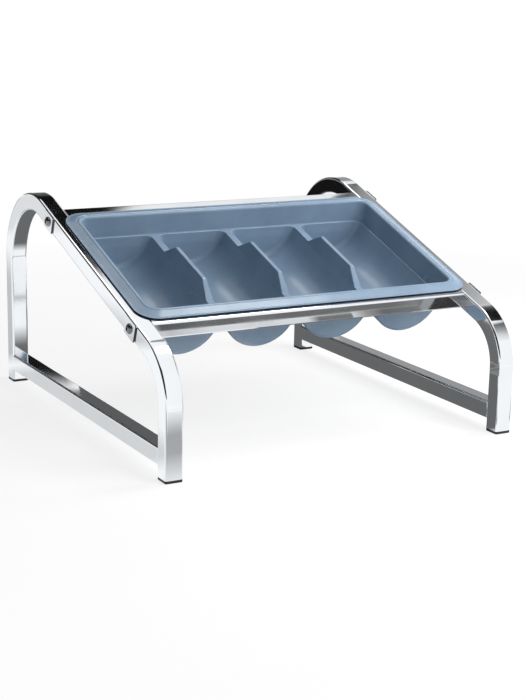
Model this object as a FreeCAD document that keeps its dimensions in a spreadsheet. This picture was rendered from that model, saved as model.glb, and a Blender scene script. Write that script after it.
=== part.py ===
import FreeCAD, Part
import math
import os
import Sketcher

# Sloping cutlery stand: two bent square-tube side frames, two stretchers and two bolted crossbars
# carry a lift-out tray with four half-round compartments.
#
# Frame: X across, Y from the front to the back, Z up from the counter. The origin is on the counter,
# in the middle of the stand's footprint. Millimetres and degrees.

SIZES = (
    ("stand_depth", 575, "front of the front legs to the back of the rear legs"),
    ("slope_angle", 18.8, "rise of the slope from the front to the back"),
    ("slope_start", 156, "height at which the top face of the slope would meet the front of the stand"),
    ("front_bend", 75, "radius of the front bend, on the tube's centreline"),
    ("rear_bend", 102, "radius of the rear bend, on the tube's centreline"),
    ("tube_size", 25, "side of the square tube"),
    ("tube_wall", 1.5, "wall of the square tube"),
    ("tube_corner", 3, "outer corner radius of the square tube"),
    ("stretcher_height", 18, "counter to the underside of the lower stretchers"),
    ("foot_height", 4, "visible collar of a foot"),
    ("foot_plug_length", 20, "part of a foot that is inside the leg"),
    ("foot_core", 15, "side of the square core of a foot's plug"),
    ("foot_rib", 1.6, "thickness of a rib on a foot's plug"),
    ("foot_rib_count", 3, "ribs up a foot's plug"),
    ("foot_edge", 1, "rounded edge under a foot"),
    ("plug_clearance", 0.1, "gap on each side between a plug and the tube it is in"),
    ("crossbar_middle", 258, "distance up the slope to midway between the two crossbars"),
    ("plate_length", 30, "bolt plate, along the slope"),
    ("plate_thickness", 2, "bolt plate"),
    ("plate_corner", 1, "corner radius of a bolt plate"),
    ("bolt_size", 8, "diameter of the shank"),
    ("bolt_length", 45, "shank under the head"),
    ("bolt_clearance", 0.2, "gap round the shank in every hole"),
    ("bolt_head", 14, "diameter of the head"),
    ("bolt_head_height", 4.5, "height of the domed head"),
    ("bolt_head_edge", 1.2, "straight rim of the head under its dome"),
    ("bolt_socket", 5, "hexagon socket, across the flats"),
    ("bolt_socket_depth", 2.8, "hexagon socket"),
    ("insert_length", 24, "threaded plug in the end of a crossbar"),
    ("rim_length", 510, "tray, over the rim, across the stand"),
    ("rim_width", 290, "tray, over the rim, along the slope"),
    ("rim_height", 6.5, "top of the rim above the bars it rests on"),
    ("rim_corner", 26, "corner radius of the rim"),
    ("opening_corner", 14, "corner radius of the opening inside the rim"),
    ("rim_shoulder", 3.5, "rounded outer edge of the rim"),
    ("rim_bead", 2, "rounded inner edge of the rim"),
    ("rim_land", 17, "width of the rim's top face"),
    ("rim_groove_offset", 7, "inner edge of the rim to the groove"),
    ("rim_groove_width", 3, "groove round the top of the rim"),
    ("rim_groove_depth", 0.8, "groove round the top of the rim"),
    ("tray_wall", 2.5, "wall of the tray"),
    ("side_play", 9, "room that the tray's walls leave between the two side frames"),
    ("tray_play", 14, "room that they leave between the two crossbars, along the slope"),
    ("tray_clearance", 0.3, "part of that room in front, where the front crossbar stops the tray"),
    ("tray_taper", 2.5, "how far each upper wall leans in between the rim and the ledge"),
    ("ledge_depth", 26, "rim's seat down to the ledge round the compartments"),
    ("side_ledge", 4.5, "ledge at the two short ends"),
    ("long_ledge", 5, "ledge along the front and the back"),
    ("compartment_count", 4, "half-round compartments side by side"),
    ("saddle_width", 16, "between two compartments, across their rounded mouths"),
    ("trough_centre_rise", 1.5, "centre of a compartment's half-round section above the ledge"),
    ("trough_end_radius", 10, "outer radius where a compartment's end turns into its bottom"),
    ("trough_mouth_radius", 4, "rounded mouth of a compartment"),
    ("divider_thickness", 5, "raised middle of a divider"),
    ("divider_rise", 21, "top of a divider above the ledge"),
    ("divider_top", 90, "length of a divider's top edge"),
    ("divider_ramp", 28, "how far each sloping end of a divider runs out"),
)

doc = FreeCAD.newDocument("cutlery_dispenser")
sheet = doc.addObject("Spreadsheet::Sheet", "sizes")
for row, (alias, number, meaning) in enumerate(SIZES, start=1):
    sheet.set("A%d" % row, meaning)
    sheet.set("B%d" % row, str(number))
    sheet.setAlias("B%d" % row, alias)
doc.recompute()


def value(expression):
    return float(sheet.evalExpression(expression))


# Lengths that several pieces share, as expressions on the sheet.
HALF_TUBE = "sizes.tube_size / 2"
TUBE_BORE = "(sizes.tube_size - 2 * sizes.tube_wall)"
BORE_CORNER = "(sizes.tube_corner - sizes.tube_wall)"
HOLE_DIAMETER = "(sizes.bolt_size + 2 * sizes.bolt_clearance)"
OPENING_LENGTH = "(sizes.rim_length - 2 * sizes.rim_land)"
OPENING_WIDTH = "(sizes.rim_width - 2 * sizes.rim_land)"
LEDGE_LENGTH = "(%s - 2 * sizes.tray_taper)" % OPENING_LENGTH
LEDGE_WIDTH = "(%s - 2 * sizes.tray_taper)" % OPENING_WIDTH
TROUGH_LENGTH = "(%s - 2 * sizes.long_ledge)" % LEDGE_WIDTH
TROUGH_SPAN = "(%s - 2 * sizes.side_ledge + sizes.saddle_width)" % LEDGE_LENGTH
TROUGH_SPACING = "(%s / sizes.compartment_count)" % TROUGH_SPAN
TROUGH_RADIUS = "((%s - sizes.saddle_width) / 2)" % TROUGH_SPACING
TROUGH_CENTRE_Z = "(sizes.trough_centre_rise - sizes.ledge_depth)"
FIRST_TROUGH_X = "(-(sizes.compartment_count - 1) / 2 * %s)" % TROUGH_SPACING

# The stand is made to the tray: its side frames and its crossbars stand round the upper walls.
CROSSBAR_LENGTH = "(%s + 2 * sizes.tray_wall + sizes.side_play)" % OPENING_LENGTH
SIDE_X = "(%s / 2 + %s)" % (CROSSBAR_LENGTH, HALF_TUBE)
OUTSIDE_X = "(%s / 2 + sizes.tube_size)" % CROSSBAR_LENGTH

# Distances up the slope, from the front of the stand to the middle of each piece
TRAY_ROOM = "(%s + 2 * sizes.tray_wall + sizes.tray_play)" % OPENING_WIDTH
FRONT = "(sizes.crossbar_middle - %s / 2 - %s)" % (TRAY_ROOM, HALF_TUBE)
REAR = "(sizes.crossbar_middle + %s / 2 + %s)" % (TRAY_ROOM, HALF_TUBE)
TRAY_FRONT_WALL = "(%s + %s + sizes.tray_clearance)" % (FRONT, HALF_TUBE)
TRAY_MIDDLE = "(%s + sizes.tray_wall + %s / 2)" % (TRAY_FRONT_WALL, OPENING_WIDTH)

TOLERANCE = 0.01  # when an edge is looked up by where it lies
LEAST_CUT = 0.001  # volume that a pocket takes away at the least


def slopePoint(along, above):
    """Y and Z of a point so far up the slope, and so far above the bars' top face."""
    offset = (along, above)
    y = "-sizes.stand_depth / 2 + %s * cos(sizes.slope_angle) - (%s) * sin(sizes.slope_angle)" % offset
    z = "sizes.slope_start + %s * sin(sizes.slope_angle) + (%s) * cos(sizes.slope_angle)" % offset
    return y, z


# Sketches

def newSketch(body, name, role, offset=None):
    plane = [feature for feature in body.Origin.OriginFeatures if feature.Role == role][0]
    sketch = body.newObject("Sketcher::SketchObject", name)
    sketch.AttachmentSupport = [(plane, "")]
    sketch.MapMode = "FlatFace"
    if offset:
        sketch.setExpression("AttachmentOffset.Base.z", offset)
        doc.recompute()
    return sketch


def measure(sketch, kind, where, expression):
    index = sketch.addConstraint(Sketcher.Constraint(kind, *where, value(expression)))
    sketch.setExpression("Constraints[%d]" % index, expression)


def line(sketch, start, end):
    return sketch.addGeometry(Part.LineSegment(FreeCAD.Vector(*start, 0), FreeCAD.Vector(*end, 0)), False)


def arc(sketch, centre, radius, first, last):
    circle = Part.Circle(FreeCAD.Vector(*centre, 0), FreeCAD.Vector(0, 0, 1), radius)
    return sketch.addGeometry(Part.ArcOfCircle(circle, math.radians(first), math.radians(last)), False)


def tie(sketch, kind, *where):
    sketch.addConstraint(Sketcher.Constraint(kind, *where))


def roundedRectangle(sketch, width, height, corner):
    """A rectangle with round corners, centred on the sketch's origin."""
    half_width = value(width) / 2
    half_height = value(height) / 2
    radius = value(corner)
    flat_x = half_width - radius
    flat_y = half_height - radius
    bottom = line(sketch, (-flat_x, -half_height), (flat_x, -half_height))
    right = line(sketch, (half_width, -flat_y), (half_width, flat_y))
    top = line(sketch, (flat_x, half_height), (-flat_x, half_height))
    left = line(sketch, (-half_width, flat_y), (-half_width, -flat_y))
    corners = []
    for (x, y, first, before, after) in (
        (flat_x, -flat_y, 270, bottom, right),
        (flat_x, flat_y, 0, right, top),
        (-flat_x, flat_y, 90, top, left),
        (-flat_x, -flat_y, 180, left, bottom),
    ):
        turn = arc(sketch, (x, y), radius, first, first + 90)
        tie(sketch, "Tangent", before, 2, turn, 1)
        tie(sketch, "Tangent", turn, 2, after, 1)
        corners.append(turn)
    for other in corners[1:]:
        tie(sketch, "Equal", corners[0], other)
    tie(sketch, "Horizontal", bottom)
    tie(sketch, "Horizontal", top)
    tie(sketch, "Vertical", right)
    tie(sketch, "Vertical", left)
    measure(sketch, "Radius", (corners[0],), corner)
    measure(sketch, "DistanceX", (right, 1), "(%s) / 2" % width)
    measure(sketch, "DistanceX", (left, 1), "-(%s) / 2" % width)
    measure(sketch, "DistanceY", (top, 1), "(%s) / 2" % height)
    measure(sketch, "DistanceY", (bottom, 1), "-(%s) / 2" % height)


def circleAt(sketch, x, y, diameter):
    centre = FreeCAD.Vector(value(x), value(y), 0)
    circle = sketch.addGeometry(Part.Circle(centre, FreeCAD.Vector(0, 0, 1), value(diameter) / 2), False)
    measure(sketch, "DistanceX", (circle, 3), x)
    measure(sketch, "DistanceY", (circle, 3), y)
    measure(sketch, "Diameter", (circle,), diameter)


def polygon(sketch, points):
    """Straight sides through points given as pairs of expressions."""
    numbers = [(value(x), value(y)) for x, y in points]
    sides = []
    for start, end in zip(numbers, numbers[1:] + numbers[:1]):
        sides.append(line(sketch, start, end))
    for side, following in zip(sides, sides[1:] + sides[:1]):
        tie(sketch, "Coincident", side, 2, following, 1)
    for side, (x, y) in zip(sides, points):
        measure(sketch, "DistanceX", (side, 1), x)
        measure(sketch, "DistanceY", (side, 1), y)
    return sides


# Features

def newBody(label):
    body = doc.addObject("PartDesign::Body", label)
    body.Label = label
    return body


def extrude(kind, body, sketch, length, middle=False, backwards=False):
    feature = body.newObject("PartDesign::" + kind, sketch.Name + "_" + kind.lower())
    feature.Profile = sketch
    feature.Midplane = middle
    feature.Reversed = backwards
    feature.setExpression("Length", length)
    before = body.Shape.Volume if kind == "Pocket" else 0
    doc.recompute()
    if kind == "Pocket" and body.Shape.Volume > before - LEAST_CUT:
        raise RuntimeError("%s cuts nothing" % feature.Name)
    return feature


def roundEdges(body, radius, name, chosen):
    """Fillet on every edge of the body's last feature that the test picks out."""
    doc.recompute()
    base = body.Tip
    picked = ["Edge%d" % (i + 1) for i, edge in enumerate(base.Shape.Edges) if chosen(edge)]
    if not picked:
        raise RuntimeError("%s finds no edge" % name)
    fillet = body.newObject("PartDesign::Fillet", name)
    fillet.Base = (base, picked)
    fillet.setExpression("Radius", radius)
    doc.recompute()
    return fillet


def place(body, x="0", y="0", z="0", tilt=None, turned=False):
    """Sets the body in the stand. Tilted pieces follow the slope, turned ones face the other side."""
    axis = FreeCAD.Vector(1, 0, 0) if tilt else FreeCAD.Vector(0, 0, 1)
    angle = value(tilt) if tilt else (180 if turned else 0)
    body.Placement = FreeCAD.Placement(FreeCAD.Vector(), FreeCAD.Rotation(axis, angle))
    for name, expression in (("x", x), ("y", y), ("z", z)):
        body.setExpression("Placement.Base.%s" % name, expression)
    if tilt:
        body.setExpression("Placement.Rotation.Angle", tilt)


def lies(number, target):
    return abs(number - target) < TOLERANCE


def reach(edge):
    """How far an edge goes from the body's middle along X and Y."""
    box = edge.BoundBox
    return max(abs(box.XMin), abs(box.XMax)), max(abs(box.YMin), abs(box.YMax))


# Side frames: one hollow square tube from foot to foot

def bendStart(radius, turn):
    """Distance from the corner of two runs to the start of the arc that joins them."""
    return radius * math.tan(math.radians(turn) / 2)


def drawHoop(sketch):
    """Centreline: front leg, wide front bend, slope, tight rear bend, rear leg."""
    slope = value("sizes.slope_angle")
    front_y = value("sizes.tube_size / 2 - sizes.stand_depth / 2")
    rear_y = -front_y
    foot_z = value("sizes.foot_height")
    start_z = value("sizes.slope_start - sizes.tube_size / 2 / cos(sizes.slope_angle)")
    rise = math.tan(math.radians(slope))
    front_z = start_z + rise * (front_y + value("sizes.stand_depth / 2"))
    rear_z = start_z + rise * (rear_y + value("sizes.stand_depth / 2"))
    front_radius = value("sizes.front_bend")
    rear_radius = value("sizes.rear_bend")
    front_trim = bendStart(front_radius, 90 - slope)
    rear_trim = bendStart(rear_radius, 90 + slope)
    along = (math.cos(math.radians(slope)), math.sin(math.radians(slope)))
    slope_start = (front_y + front_trim * along[0], front_z + front_trim * along[1])
    slope_end = (rear_y - rear_trim * along[0], rear_z - rear_trim * along[1])

    front_leg = line(sketch, (front_y, foot_z), (front_y, front_z - front_trim))
    front_turn = arc(sketch, (front_y + front_radius, front_z - front_trim), front_radius, 90 + slope, 180)
    slope_run = line(sketch, slope_start, slope_end)
    rear_turn = arc(sketch, (rear_y - rear_radius, rear_z - rear_trim), rear_radius, 0, 90 + slope)
    rear_leg = line(sketch, (rear_y, rear_z - rear_trim), (rear_y, foot_z))
    tie(sketch, "Tangent", front_leg, 2, front_turn, 2)
    tie(sketch, "Tangent", front_turn, 1, slope_run, 1)
    tie(sketch, "Tangent", slope_run, 2, rear_turn, 2)
    tie(sketch, "Tangent", rear_turn, 1, rear_leg, 1)
    tie(sketch, "Vertical", front_leg)
    tie(sketch, "Vertical", rear_leg)
    measure(sketch, "Radius", (front_turn,), "sizes.front_bend")
    measure(sketch, "Radius", (rear_turn,), "sizes.rear_bend")
    measure(sketch, "DistanceX", (front_leg, 1), "sizes.tube_size / 2 - sizes.stand_depth / 2")
    measure(sketch, "DistanceY", (front_leg, 1), "sizes.foot_height")
    measure(sketch, "DistanceX", (rear_leg, 2), "sizes.stand_depth / 2 - sizes.tube_size / 2")
    measure(sketch, "DistanceY", (rear_leg, 2), "sizes.foot_height")
    measure(sketch, "Angle", (slope_run,), "sizes.slope_angle")

    # The slope is held by the point where its centreline would meet the front of the stand.
    corner = sketch.addGeometry(Part.Point(FreeCAD.Vector(value("-sizes.stand_depth / 2"), start_z, 0)), True)
    measure(sketch, "DistanceX", (corner, 1), "-sizes.stand_depth / 2")
    measure(sketch, "DistanceY", (corner, 1),
            "sizes.slope_start - sizes.tube_size / 2 / cos(sizes.slope_angle)")
    tie(sketch, "PointOnObject", corner, 1, slope_run)


def sweep(kind, body, profile, path):
    pipe = body.newObject("PartDesign::" + kind, profile.Name + "_sweep")
    pipe.Profile = profile
    pipe.Spine = path
    doc.recompute()
    return pipe


def legSection(body, name, side, corner):
    sketch = newSketch(body, name, "XY_Plane", "sizes.foot_height")
    roundedRectangle(sketch, side, side, corner)
    sketch.setExpression("AttachmentOffset.Base.y", "sizes.tube_size / 2 - sizes.stand_depth / 2")
    doc.recompute()
    return sketch


def makeSideFrame(label, side):
    body = newBody(label)
    path = newSketch(body, label + "_centreline", "YZ_Plane")
    drawHoop(path)
    doc.recompute()
    outside = legSection(body, label + "_outside", "sizes.tube_size", "sizes.tube_corner")
    sweep("AdditivePipe", body, outside, path)
    inside = legSection(body, label + "_inside", TUBE_BORE, BORE_CORNER)
    sweep("SubtractivePipe", body, inside, path)
    holes = newSketch(body, label + "_bolt_holes", "YZ_Plane")
    for along in (FRONT, REAR):
        y, z = slopePoint(along, "-" + HALF_TUBE)
        circleAt(holes, y, z, HOLE_DIAMETER)
    extrude("Pocket", body, holes, "2 * sizes.tube_size", middle=True)
    place(body, x="%s * %s" % (side, SIDE_X))
    return body


# Straight tubes

def tubeSection(body, name, role):
    sketch = newSketch(body, name, role)
    roundedRectangle(sketch, "sizes.tube_size", "sizes.tube_size", "sizes.tube_corner")
    roundedRectangle(sketch, TUBE_BORE, TUBE_BORE, BORE_CORNER)
    return sketch


def makeStretcher(label, side):
    body = newBody(label)
    section = tubeSection(body, label + "_section", "XZ_Plane")
    extrude("Pad", body, section, "sizes.stand_depth - 2 * sizes.tube_size", middle=True)
    place(body, x="%s * %s" % (side, SIDE_X), z="sizes.stretcher_height + sizes.tube_size / 2")
    return body


def makeCrossbar(label, along):
    body = newBody(label)
    section = tubeSection(body, label + "_section", "YZ_Plane")
    extrude("Pad", body, section, CROSSBAR_LENGTH, middle=True)
    y, z = slopePoint(along, "-" + HALF_TUBE)
    place(body, y=y, z=z, tilt="sizes.slope_angle")
    return body


# Joint hardware: a plate, a bolt and a threaded insert at each end of each crossbar

def makeInsert(label, side, along):
    body = newBody(label)
    section = newSketch(body, label + "_section", "YZ_Plane")
    plug = "(%s - 2 * sizes.plug_clearance)" % TUBE_BORE
    roundedRectangle(section, plug, plug, BORE_CORNER)
    circleAt(section, "0", "0", HOLE_DIAMETER)
    extrude("Pad", body, section, "sizes.insert_length", middle=True)
    y, z = slopePoint(along, "-" + HALF_TUBE)
    x = "%s * (%s / 2 - sizes.insert_length / 2)" % (side, CROSSBAR_LENGTH)
    place(body, x=x, y=y, z=z, tilt="sizes.slope_angle")
    return body


def makePlate(label, side, along):
    body = newBody(label)
    outline = newSketch(body, label + "_outline", "YZ_Plane")
    roundedRectangle(outline, "sizes.plate_length", "sizes.tube_size", "sizes.plate_corner")
    circleAt(outline, "0", "0", HOLE_DIAMETER)
    extrude("Pad", body, outline, "sizes.plate_thickness", middle=True)
    y, z = slopePoint(along, "-" + HALF_TUBE)
    x = "%s * (%s + sizes.plate_thickness / 2)" % (side, OUTSIDE_X)
    place(body, x=x, y=y, z=z, tilt="sizes.slope_angle")
    return body


def drawBolt(sketch):
    """Half section of a domed bolt along X, with the underside of its head on the sketch's Y axis."""
    shank = value("sizes.bolt_size / 2")
    length = value("sizes.bolt_length")
    head = value("sizes.bolt_head / 2")
    edge = value("sizes.bolt_head_edge")
    height = value("sizes.bolt_head_height")
    dome = (head ** 2 + (height - edge) ** 2) / (2 * (height - edge))
    spread = math.degrees(math.asin(head / dome))
    end = line(sketch, (-length, 0), (-length, shank))
    side = line(sketch, (-length, shank), (0, shank))
    seat = line(sketch, (0, shank), (0, head))
    rim = line(sketch, (0, head), (edge, head))
    crown = arc(sketch, (height - dome, 0), dome, 0, spread)
    axis = line(sketch, (height, 0), (-length, 0))
    tie(sketch, "Coincident", end, 2, side, 1)
    tie(sketch, "Coincident", side, 2, seat, 1)
    tie(sketch, "Coincident", seat, 2, rim, 1)
    tie(sketch, "Coincident", rim, 2, crown, 2)
    tie(sketch, "Coincident", crown, 1, axis, 1)
    tie(sketch, "Coincident", axis, 2, end, 1)
    tie(sketch, "Horizontal", side)
    tie(sketch, "Horizontal", rim)
    tie(sketch, "Vertical", end)
    tie(sketch, "Vertical", seat)
    tie(sketch, "PointOnObject", crown, 3, -1)
    measure(sketch, "DistanceX", (end, 1), "-sizes.bolt_length")
    measure(sketch, "DistanceY", (end, 1), "0")
    measure(sketch, "DistanceY", (end, 2), "sizes.bolt_size / 2")
    measure(sketch, "DistanceX", (seat, 1), "0")
    measure(sketch, "DistanceY", (seat, 2), "sizes.bolt_head / 2")
    measure(sketch, "DistanceX", (rim, 2), "sizes.bolt_head_edge")
    measure(sketch, "DistanceX", (axis, 1), "sizes.bolt_head_height")
    measure(sketch, "DistanceY", (axis, 1), "0")


def makeBolt(label, side, along):
    body = newBody(label)
    section = newSketch(body, label + "_section", "XY_Plane")
    drawBolt(section)
    turned = body.newObject("PartDesign::Revolution", label + "_revolution")
    turned.Profile = section
    turned.ReferenceAxis = (section, ["H_Axis"])
    turned.Angle = 360
    doc.recompute()
    socket = newSketch(body, label + "_socket", "YZ_Plane", "sizes.bolt_head_height")
    corners = []
    corner_reach = "sizes.bolt_socket / sqrt(3)"
    for turn in range(30, 390, 60):
        corners.append(("%s * cos(%d)" % (corner_reach, turn), "%s * sin(%d)" % (corner_reach, turn)))
    polygon(socket, corners)
    extrude("Pocket", body, socket, "sizes.bolt_socket_depth")
    y, z = slopePoint(along, "-" + HALF_TUBE)
    x = "%s * (%s + sizes.plate_thickness)" % (side, OUTSIDE_X)
    place(body, x=x, y=y, z=z, turned=(side == "-1"))
    return body


# Feet: a collar under the tube and a ribbed plug inside it

def makeFoot(label, side, end):
    body = newBody(label)
    collar = newSketch(body, label + "_collar", "XY_Plane")
    roundedRectangle(collar, "sizes.tube_size", "sizes.tube_size", "sizes.tube_corner")
    extrude("Pad", body, collar, "sizes.foot_height")
    roundEdges(body, "sizes.foot_edge", label + "_edge",
               lambda edge: lies(edge.BoundBox.ZMax, 0))
    core = newSketch(body, label + "_core", "XY_Plane", "sizes.foot_height")
    roundedRectangle(core, "sizes.foot_core", "sizes.foot_core", "sizes.foot_edge")
    extrude("Pad", body, core, "sizes.foot_plug_length")
    rib = newSketch(body, label + "_rib", "XY_Plane",
                    "sizes.foot_height + sizes.foot_plug_length - sizes.foot_rib")
    side_length = "(%s - 2 * sizes.plug_clearance)" % TUBE_BORE
    roundedRectangle(rib, side_length, side_length, BORE_CORNER)
    rib_pad = extrude("Pad", body, rib, "sizes.foot_rib")
    ribs = body.newObject("PartDesign::LinearPattern", label + "_ribs")
    ribs.Originals = [rib_pad]
    ribs.Direction = (rib, ["N_Axis"])
    ribs.Reversed = True
    ribs.setExpression("Length", "sizes.foot_plug_length * (1 - 1 / sizes.foot_rib_count)")
    ribs.setExpression("Occurrences", "sizes.foot_rib_count")
    body.Tip = ribs
    y = "%s * (sizes.stand_depth / 2 - sizes.tube_size / 2)" % end
    place(body, x="%s * %s" % (side, SIDE_X), y=y)
    return body


# Tray: local frame with X across, Y up the slope and Z square to it, zero where the rim rests

def rimSketch(body, name, height, length, width, corner):
    sketch = newSketch(body, name, "XY_Plane", height)
    roundedRectangle(sketch, length, width, corner)
    return sketch


def loft(kind, body, name, sketches):
    feature = body.newObject("PartDesign::" + kind, name)
    feature.Profile = sketches[0]
    feature.Sections = sketches[1:]
    feature.Ruled = True
    doc.recompute()
    return feature


def makeBox(body, kind, name, top, bottom, wall):
    """Tapered upper walls, between the rim and the ledge, grown by a wall for their outside."""
    sketches = []
    for level, height, length, width in (
        ("top", top, OPENING_LENGTH, OPENING_WIDTH),
        ("bottom", bottom, LEDGE_LENGTH, LEDGE_WIDTH),
    ):
        sketches.append(rimSketch(body, "%s_%s" % (name, level), height,
                                  "%s + 2 * %s" % (length, wall),
                                  "%s + 2 * %s" % (width, wall),
                                  "sizes.opening_corner + %s" % wall))
    return loft(kind, body, name, sketches)


def drawTrough(sketch, wall, top):
    """Segment of a circle for the first compartment, closed by a straight line at the height given."""
    radius = value("%s + %s" % (TROUGH_RADIUS, wall))
    centre_x = value(FIRST_TROUGH_X)
    centre_z = value(TROUGH_CENTRE_Z)
    top_z = value(top)
    dip = math.asin((top_z - centre_z) / radius)
    half = radius * math.cos(dip)
    bowl = arc(sketch, (centre_x, centre_z), radius, 180 - math.degrees(dip), 360 + math.degrees(dip))
    lid = line(sketch, (centre_x + half, top_z), (centre_x - half, top_z))
    tie(sketch, "Coincident", bowl, 2, lid, 1)
    tie(sketch, "Coincident", lid, 2, bowl, 1)
    tie(sketch, "Horizontal", lid)
    measure(sketch, "DistanceX", (bowl, 3), FIRST_TROUGH_X)
    measure(sketch, "DistanceY", (bowl, 3), TROUGH_CENTRE_Z)
    measure(sketch, "DistanceY", (lid, 1), top)
    measure(sketch, "Radius", (bowl,), "%s + %s" % (TROUGH_RADIUS, wall))


def isTroughEnd(edge, wall):
    """The round edge where the end of a compartment meets its bottom."""
    end_y = value("%s / 2 + %s" % (TROUGH_LENGTH, wall))
    radius = value("%s + %s" % (TROUGH_RADIUS, wall))
    box = edge.BoundBox
    flat = lies(box.YMin, box.YMax) and lies(abs(box.YMin), end_y)
    return flat and isinstance(edge.Curve, Part.Circle) and lies(edge.Curve.Radius, radius)


def makeTroughs(label, wall, top):
    """A row of half-round troughs with rounded ends, as a tool for the tray's outside or inside."""
    body = newBody(label)
    section = newSketch(body, label + "_section", "XZ_Plane")
    drawTrough(section, wall, top)
    extrude("Pad", body, section, "%s + 2 * %s" % (TROUGH_LENGTH, wall), middle=True)
    roundEdges(body, "sizes.trough_end_radius - sizes.tray_wall + " + wall, label + "_ends",
               lambda edge: isTroughEnd(edge, wall))
    row = body.newObject("PartDesign::LinearPattern", label + "_row")
    row.TransformMode = "Whole shape"
    row.Direction = (section, ["H_Axis"])
    row.setExpression("Length", "(sizes.compartment_count - 1) * " + TROUGH_SPACING)
    row.setExpression("Occurrences", "sizes.compartment_count")
    body.Tip = row
    doc.recompute()
    return body


def combine(body, kind, tool, name):
    boolean = body.newObject("PartDesign::Boolean", name)
    boolean.Type = kind
    boolean.setObjects([tool])
    doc.recompute()
    return boolean


def isMouth(edge):
    """The edges round a compartment, on the ledge and inside the upper walls."""
    box = edge.BoundBox
    across, along = reach(edge)
    level = lies(box.ZMin, box.ZMax) and lies(box.ZMin, value("-sizes.ledge_depth"))
    within = across < value("(%s - sizes.side_ledge) / 2" % LEDGE_LENGTH)
    return level and within and along < value("(%s - sizes.long_ledge) / 2" % LEDGE_WIDTH)


def isOpeningEdge(edge):
    """The top inner edge of the rim."""
    across, along = reach(edge)
    top = lies(edge.BoundBox.ZMin, value("sizes.rim_height"))
    within = across < value(OPENING_LENGTH) / 2 + TOLERANCE
    return top and within and along < value(OPENING_WIDTH) / 2 + TOLERANCE


def makeTray(label):
    body = newBody(label)

    # Rim with a skirt turned down all round
    rim = rimSketch(body, "rim", "0", "sizes.rim_length", "sizes.rim_width", "sizes.rim_corner")
    extrude("Pad", body, rim, "sizes.rim_height")
    roundEdges(body, "sizes.rim_shoulder", "rim_shoulder_round",
               lambda edge: lies(edge.BoundBox.ZMin, value("sizes.rim_height")))
    skirt = rimSketch(body, "skirt", "0", "sizes.rim_length - 2 * sizes.tray_wall",
                      "sizes.rim_width - 2 * sizes.tray_wall", "sizes.rim_corner - sizes.tray_wall")
    extrude("Pocket", body, skirt, "sizes.rim_height - sizes.tray_wall", backwards=True)

    # Outside of the upper walls and of the compartments
    floor_z = "-sizes.ledge_depth - sizes.tray_wall"
    makeBox(body, "AdditiveLoft", "box_outside", "sizes.rim_height - sizes.tray_wall / 2", floor_z,
            "sizes.tray_wall")
    bowls = makeTroughs("bowls", "sizes.tray_wall", "-sizes.ledge_depth - sizes.tray_wall / 2")
    combine(body, "Fuse", bowls, "bowls_added")

    # Inside of both
    makeBox(body, "SubtractiveLoft", "box_inside", "sizes.rim_height", "-sizes.ledge_depth", "0")
    hollows = makeTroughs("hollows", "0", "sizes.trough_centre_rise / 2 - sizes.ledge_depth")
    combine(body, "Cut", hollows, "hollows_taken")
    roundEdges(body, "sizes.trough_mouth_radius", "mouth_round", isMouth)

    # Groove round the top of the rim, and its rounded inner edge
    groove = newSketch(body, "groove", "XY_Plane", "sizes.rim_height")
    for offset in ("sizes.rim_groove_offset", "(sizes.rim_groove_offset + sizes.rim_groove_width)"):
        roundedRectangle(groove, "%s + 2 * %s" % (OPENING_LENGTH, offset),
                         "%s + 2 * %s" % (OPENING_WIDTH, offset), "sizes.opening_corner + %s" % offset)
    extrude("Pocket", body, groove, "sizes.rim_groove_depth")
    roundEdges(body, "sizes.rim_bead", "rim_bead_round", isOpeningEdge)

    # Raised middle of each divider: a flat top with a ramp at both ends
    foot_y = "(sizes.divider_top / 2 + sizes.divider_ramp)"
    foot_z = "-sizes.ledge_depth - sizes.tray_wall / 2"
    ramp_slope = "sizes.divider_rise / sizes.divider_ramp"
    foot_reach = "(%s + sizes.tray_wall / 2 / (%s))" % (foot_y, ramp_slope)
    top_z = "sizes.divider_rise - sizes.ledge_depth"
    fin = newSketch(body, "divider", "YZ_Plane", "-(sizes.compartment_count / 2 - 1) * " + TROUGH_SPACING)
    polygon(fin, [("-" + foot_reach, foot_z), (foot_reach, foot_z),
                  ("sizes.divider_top / 2", top_z), ("-sizes.divider_top / 2", top_z)])
    fin_pad = extrude("Pad", body, fin, "sizes.divider_thickness", middle=True)
    dividers = body.newObject("PartDesign::LinearPattern", "dividers")
    dividers.Originals = [fin_pad]
    dividers.Direction = (fin, ["N_Axis"])
    dividers.setExpression("Length", "(sizes.compartment_count - 2) * " + TROUGH_SPACING)
    dividers.setExpression("Occurrences", "sizes.compartment_count - 1")
    body.Tip = dividers

    y, z = slopePoint(TRAY_MIDDLE, "0")
    place(body, y=y, z=z, tilt="sizes.slope_angle")
    return body


# The whole stand

pieces = []
for name, side in (("left", "-1"), ("right", "1")):
    pieces.append(makeSideFrame(name + "_side_frame", side))
    pieces.append(makeStretcher(name + "_lower_stretcher", side))
for name, along in (("front", FRONT), ("rear", REAR)):
    pieces.append(makeCrossbar(name + "_crossbar", along))
for end, along, leg_side in (("front", FRONT, "-1"), ("rear", REAR, "1")):
    for hand, side in (("left", "-1"), ("right", "1")):
        corner = end + "_" + hand
        pieces.append(makeInsert(corner + "_insert", side, along))
        pieces.append(makePlate(corner + "_plate", side, along))
        pieces.append(makeBolt(corner + "_bolt", side, along))
        pieces.append(makeFoot(corner + "_foot", side, leg_side))
pieces.append(makeTray("cutlery_tray"))
doc.recompute()

for item in doc.Objects:
    if "Invalid" in item.State or "Error" in item.State:
        raise RuntimeError("%s failed: %s" % (item.Name, item.State))
for piece in pieces:
    if piece.Shape.isNull() or not piece.Shape.isValid() or len(piece.Shape.Solids) != 1:
        raise RuntimeError("%s is not one valid solid" % piece.Label)

os.makedirs("parts", exist_ok=True)
for piece in pieces:
    piece.Shape.exportStep("parts/%s.step" % piece.Label)
    print("%-24s %10.1f mm3" % (piece.Label, piece.Shape.Volume))
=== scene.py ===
import math

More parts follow.
